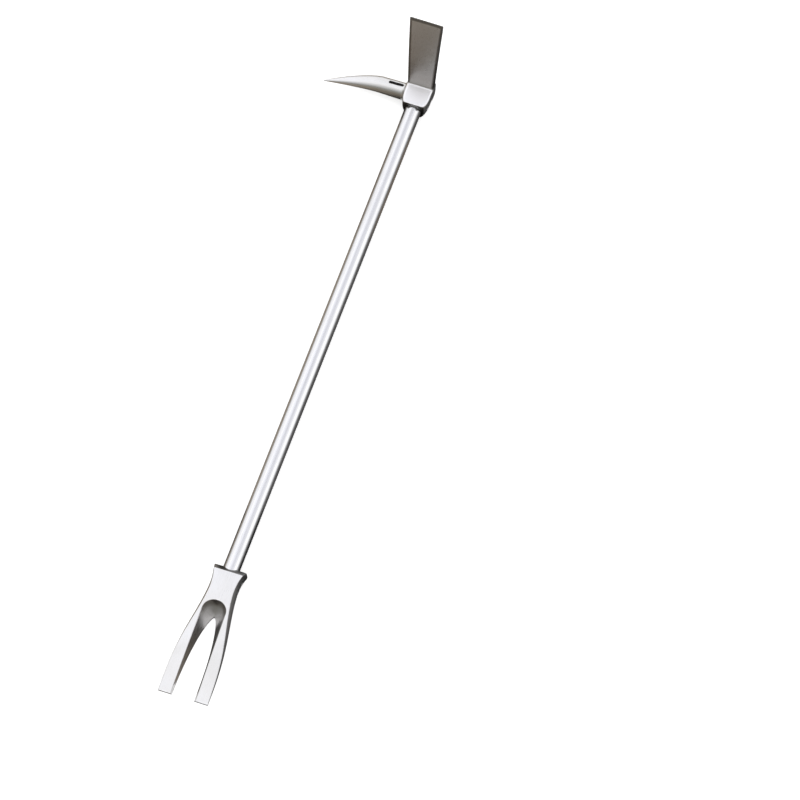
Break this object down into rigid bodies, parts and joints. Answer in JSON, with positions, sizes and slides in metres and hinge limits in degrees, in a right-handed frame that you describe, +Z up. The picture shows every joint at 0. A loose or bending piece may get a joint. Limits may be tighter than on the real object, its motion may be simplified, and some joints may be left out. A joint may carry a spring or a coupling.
{
  "type": "halligan bar",
  "caption": "Steel forcible entry bar: round shaft with a two-tined claw at one end and a broad adze and curved pick at the other.",
  "frame": {"origin": "on the flat that the head block rests on, under the shaft axis, 24 mm in front of the striking face", "axes": "+Y along the shaft from the claw to the head, +Z up along the adze, -X along the pick"},
  "size_m": [0.1785, 1.0663, 0.182],
  "materials": {
    "shaft_steel": "polished",
    "forged_steel": "satin",
    "pin_steel": "satin"
  },
  "bodies": {
    "root": {"shaft": "shaft_steel", "head": "forged_steel", "claw": "forged_steel", "head_pin": "pin_steel", "claw_pin_outer": "pin_steel", "claw_pin_inner": "pin_steel"}
  },
  "joints": []
}
